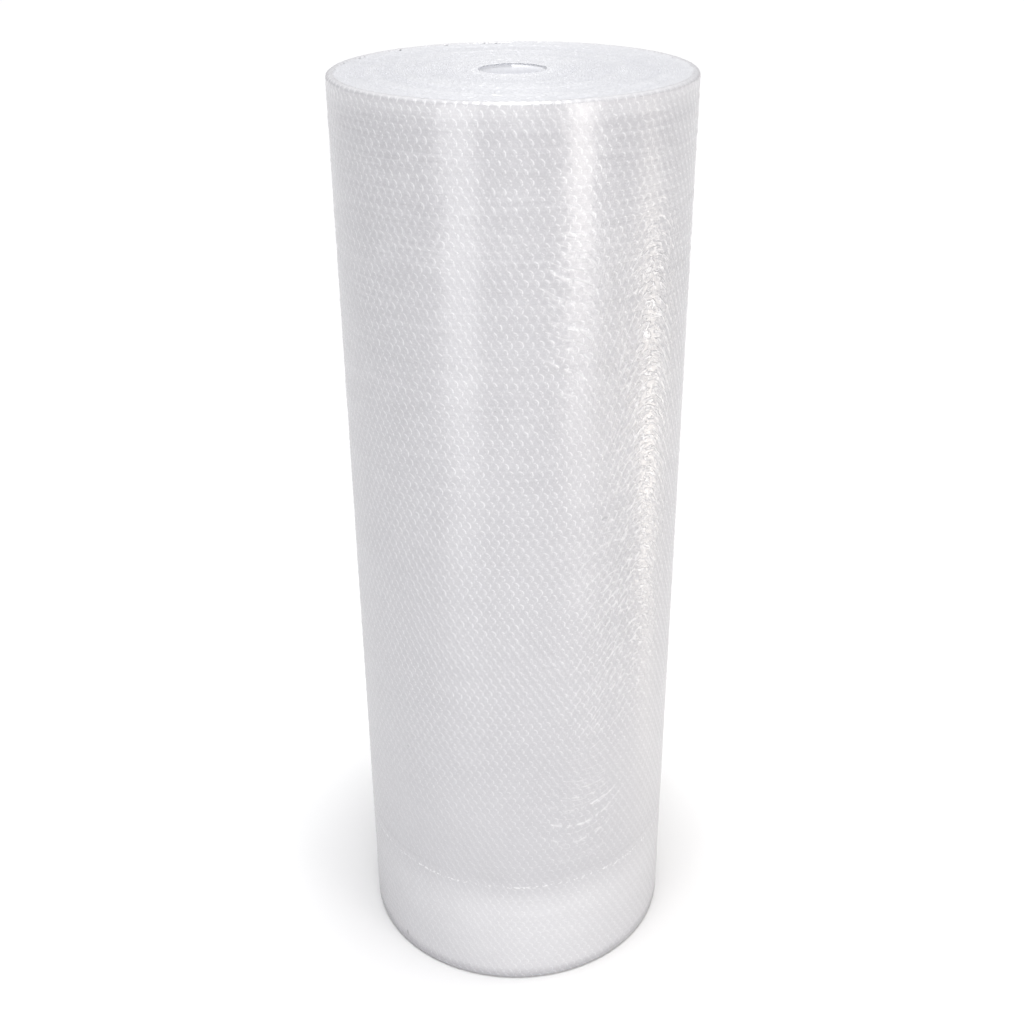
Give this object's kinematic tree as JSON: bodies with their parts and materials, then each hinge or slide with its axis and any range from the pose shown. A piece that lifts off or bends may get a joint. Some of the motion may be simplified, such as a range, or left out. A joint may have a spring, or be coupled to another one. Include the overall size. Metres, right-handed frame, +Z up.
{
  "type": "bubble wrap roll",
  "caption": "Tall coreless roll of clear bubble film standing on one end, with spiral-wound ends and an open eye.",
  "frame": {"origin": "on the winding axis at the base that the roll stands on", "axes": "+Z up along the winding axis, +Y to the back where the free end of the web lies, -Y to the viewer"},
  "size_m": [0.4244, 0.427, 1.2],
  "materials": {
    "bubble_film": "clear film over trapped air, milky where wound in many turns, soft gloss"
  },
  "bodies": {
    "root": {"bubble_wrap_roll": "bubble_film"}
  },
  "joints": []
}
